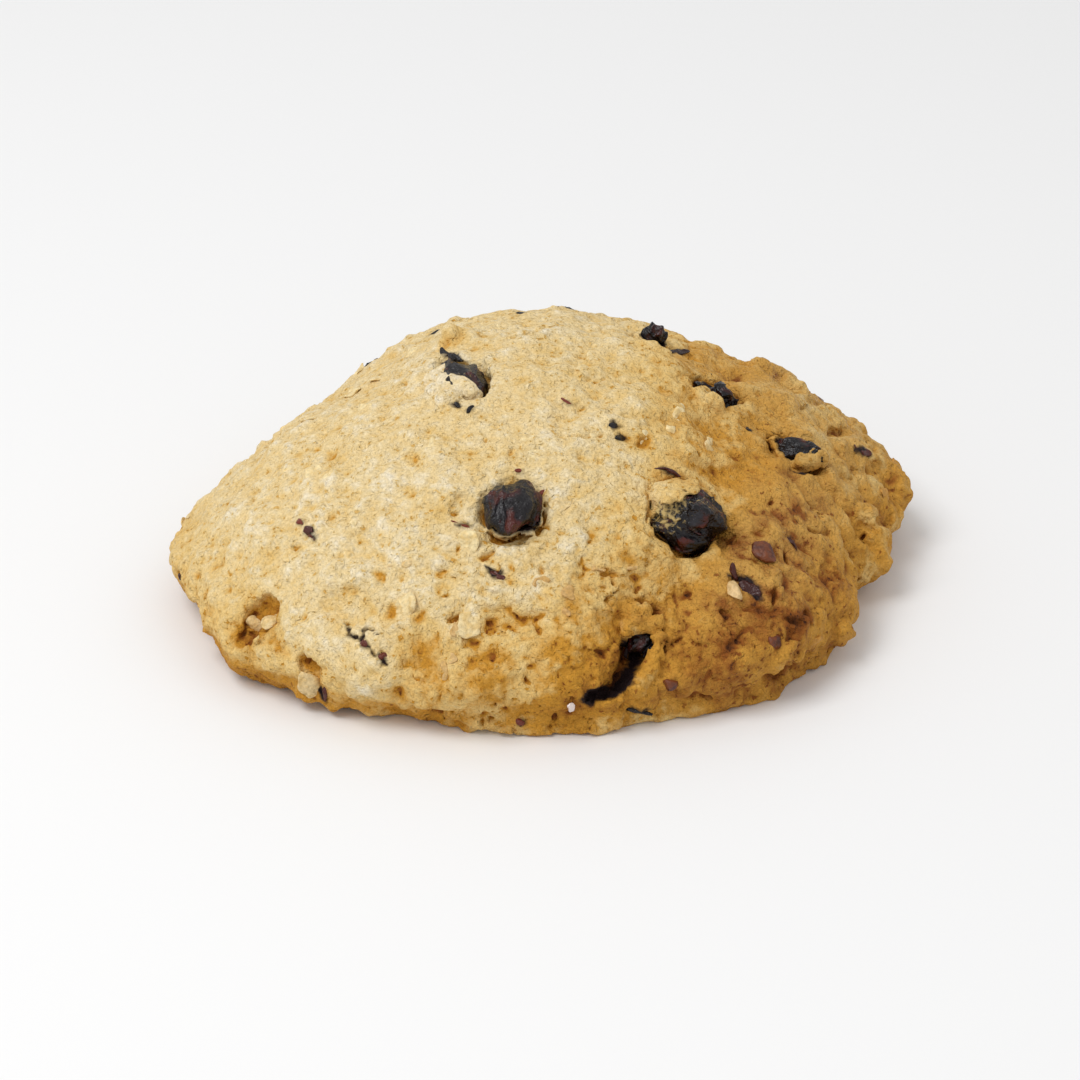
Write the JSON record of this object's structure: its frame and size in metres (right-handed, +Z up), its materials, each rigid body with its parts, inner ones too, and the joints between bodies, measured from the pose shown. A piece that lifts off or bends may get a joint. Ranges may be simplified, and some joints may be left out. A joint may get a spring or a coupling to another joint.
{
  "type": "oatmeal cranberry cookie",
  "caption": "Thick hand-shaped oat cookie: a craggy round dome of baked dough with a flat base, holding dried cranberries, oat flakes and nut chips.",
  "frame": {"origin": "on the surface the cookie lies on, under the middle of its outline", "axes": "+Z up, +X to the cookie's right along its longest reach, -Y to its front, where the crack and the two large cranberries are"},
  "size_m": [0.1132, 0.1008, 0.0363],
  "materials": {
    "baked_dough": "dry baked oat dough, floury cream on top and golden brown at the foot",
    "dried_cranberry": "wrinkled, near-black dark red skin with a soft sugar gloss"
  },
  "bodies": {
    "root": {"cookie": "baked_dough", "cranberry_front": "dried_cranberry", "cranberry_right": "dried_cranberry", "cranberry_top_left": "dried_cranberry", "cranberry_peak": "dried_cranberry", "cranberry_shoulder": "dried_cranberry", "cranberry_lobe": "dried_cranberry", "cranberry_crack": "dried_cranberry", "cranberry_rear_left": "dried_cranberry", "cranberry_rear": "dried_cranberry", "cranberry_rear_right": "dried_cranberry"}
  },
  "joints": []
}
